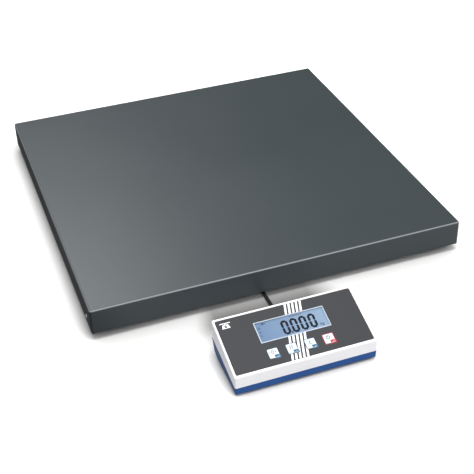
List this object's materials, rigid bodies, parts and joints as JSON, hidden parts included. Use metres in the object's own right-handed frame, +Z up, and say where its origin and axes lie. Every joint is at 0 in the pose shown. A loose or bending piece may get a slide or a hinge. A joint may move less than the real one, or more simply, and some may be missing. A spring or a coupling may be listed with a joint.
{
  "type": "platform shipping scale",
  "caption": "Low square weighing platform with a folded steel load plate, load cells and levelling feet, cabled to a separate wedge-shaped display and keypad console.",
  "frame": {"origin": "centre of the load surface, on the top face of the load plate; the floor is 54 mm below", "axes": "+Z up out of the load surface, +X to the right seen from the console's side, +Y from the console towards the platform's rear edge"},
  "size_m": [0.6, 0.786, 0.062],
  "materials": {
    "powder_coat": "fine-textured grey-green powder coat, satin",
    "channel_steel": "powder-coated folded channel",
    "load_cell_alloy": "milled and clear anodised",
    "zinc_steel": "bright zinc plate",
    "black_rubber": "matt moulded rubber",
    "cable_jacket": "extruded soft PVC",
    "junction_plastic": "moulded ABS",
    "circuit_board": "green solder mask",
    "black_plastic": "moulded nylon",
    "console_white": "fine-grained moulded ABS",
    "console_blue": "fine-grained moulded ABS",
    "keypad_film": "printed polyester overlay, satin",
    "window_clear": "clear acrylic, gloss",
    "display_glass": "backlit liquid crystal display",
    "light_guide": "milky acrylic",
    "key_film": "printed polyester over a moulded cap",
    "battery_wrap": "heat-shrunk PVC sleeve"
  },
  "bodies": {
    "platform": {"load_plate": "powder_coat", "stiffener_left": "channel_steel", "stiffener_right": "channel_steel", "cross_member": "channel_steel", "junction_box": "junction_plastic", "junction_box_lid": "junction_plastic", "summing_board": "circuit_board", "cable_gland": "black_plastic", "console_cable": "cable_jacket", "load_cell_front_left": "load_cell_alloy", "cell_bolt_inner_front_left": "zinc_steel", "cell_bolt_outer_front_left": "zinc_steel", "lock_nut_front_left": "zinc_steel", "cell_cable_front_left": "cable_jacket", "load_cell_front_right": "load_cell_alloy", "cell_bolt_inner_front_right": "zinc_steel", "cell_bolt_outer_front_right": "zinc_steel", "lock_nut_front_right": "zinc_steel", "cell_cable_front_right": "cable_jacket", "load_cell_rear_left": "load_cell_alloy", "cell_bolt_inner_rear_left": "zinc_steel", "cell_bolt_outer_rear_left": "zinc_steel", "lock_nut_rear_left": "zinc_steel", "cell_cable_rear_left": "cable_jacket", "load_cell_rear_right": "load_cell_alloy", "cell_bolt_inner_rear_right": "zinc_steel", "cell_bolt_outer_rear_right": "zinc_steel", "lock_nut_rear_right": "zinc_steel", "cell_cable_rear_right": "cable_jacket"},
    "console": {"console_top_shell": "console_white", "console_base_shell": "console_blue", "battery_pack": "battery_wrap", "cable_grommet": "black_rubber", "power_socket": "black_plastic", "keypad_overlay": "keypad_film", "display_window": "window_clear", "lcd_panel": "display_glass", "backlight": "light_guide", "main_board": "circuit_board", "console_screw_front_left": "zinc_steel", "console_screw_front_right": "zinc_steel", "console_screw_rear_left": "zinc_steel", "console_screw_rear_right": "zinc_steel", "console_foot_front_left": "black_rubber", "console_foot_front_right": "black_rubber", "console_foot_rear_left": "black_rubber", "console_foot_rear_right": "black_rubber"},
    "battery_cover": {"battery_cover": "console_blue"},
    "foot_front_left": {"foot_pad_front_left": "black_rubber"},
    "stud_front_left": {"foot_stud_front_left": "zinc_steel"},
    "foot_front_right": {"foot_pad_front_right": "black_rubber"},
    "stud_front_right": {"foot_stud_front_right": "zinc_steel"},
    "foot_rear_left": {"foot_pad_rear_left": "black_rubber"},
    "stud_rear_left": {"foot_stud_rear_left": "zinc_steel"},
    "foot_rear_right": {"foot_pad_rear_right": "black_rubber"},
    "stud_rear_right": {"foot_stud_rear_right": "zinc_steel"},
    "key_zero": {"key_zero": "key_film"},
    "key_hold": {"key_hold": "key_film"},
    "key_tare": {"key_tare": "key_film"},
    "key_power": {"key_power": "key_film"}
  },
  "joints": [
    {"name": "foot_level_front_left", "type": "slide", "parent": "platform", "child": "foot_front_left", "axis": [0, 0, 1], "range_m": [-0.008, 0.005]},
    {"name": "foot_turn_front_left", "type": "hinge", "parent": "foot_front_left", "child": "stud_front_left", "pos_m": [-0.255, -0.255, -0.04], "axis": [0, 0, 1], "range_deg": [-1930, 1210]},
    {"name": "foot_level_front_right", "type": "slide", "parent": "platform", "child": "foot_front_right", "axis": [0, 0, 1], "range_m": [-0.008, 0.005]},
    {"name": "foot_turn_front_right", "type": "hinge", "parent": "foot_front_right", "child": "stud_front_right", "pos_m": [0.255, -0.255, -0.04], "axis": [0, 0, 1], "range_deg": [-1930, 1210]},
    {"name": "foot_level_rear_left", "type": "slide", "parent": "platform", "child": "foot_rear_left", "axis": [0, 0, 1], "range_m": [-0.008, 0.005]},
    {"name": "foot_turn_rear_left", "type": "hinge", "parent": "foot_rear_left", "child": "stud_rear_left", "pos_m": [-0.255, 0.255, -0.04], "axis": [0, 0, 1], "range_deg": [-1930, 1210]},
    {"name": "foot_level_rear_right", "type": "slide", "parent": "platform", "child": "foot_rear_right", "axis": [0, 0, 1], "range_m": [-0.008, 0.005]},
    {"name": "foot_turn_rear_right", "type": "hinge", "parent": "foot_rear_right", "child": "stud_rear_right", "pos_m": [0.255, 0.255, -0.04], "axis": [0, 0, 1], "range_deg": [-1930, 1210]},
    {"name": "key_zero_press", "type": "slide", "parent": "console", "child": "key_zero", "axis": [0, -0.2901, 0.957], "range_m": [-0.0005, 0], "stiffness_N_per_m": 3000, "springref_m": 0.0003},
    {"name": "key_hold_press", "type": "slide", "parent": "console", "child": "key_hold", "axis": [0, -0.2901, 0.957], "range_m": [-0.0005, 0], "stiffness_N_per_m": 3000, "springref_m": 0.0003},
    {"name": "key_tare_press", "type": "slide", "parent": "console", "child": "key_tare", "axis": [0, -0.2901, 0.957], "range_m": [-0.0005, 0], "stiffness_N_per_m": 3000, "springref_m": 0.0003},
    {"name": "key_power_press", "type": "slide", "parent": "console", "child": "key_power", "axis": [0, -0.2901, 0.957], "range_m": [-0.0005, 0], "stiffness_N_per_m": 3000, "springref_m": 0.0003},
    {"name": "battery_cover_slide", "type": "slide", "parent": "console", "child": "battery_cover", "axis": [0, 1, 0], "range_m": [0, 0.06]},
    {"name": "console_slide", "type": "slide", "parent": "platform", "child": "console", "axis": [0, -1, 0], "range_m": [0, 0.08], "deforming": ["console_cable"]}
  ],
  "couplings": [
    {"joint": "foot_turn_front_left", "follows": "foot_level_front_left", "rad_per_m": 4188.8},
    {"joint": "foot_turn_front_right", "follows": "foot_level_front_right", "rad_per_m": 4188.8},
    {"joint": "foot_turn_rear_left", "follows": "foot_level_rear_left", "rad_per_m": 4188.8},
    {"joint": "foot_turn_rear_right", "follows": "foot_level_rear_right", "rad_per_m": 4188.8}
  ]
}
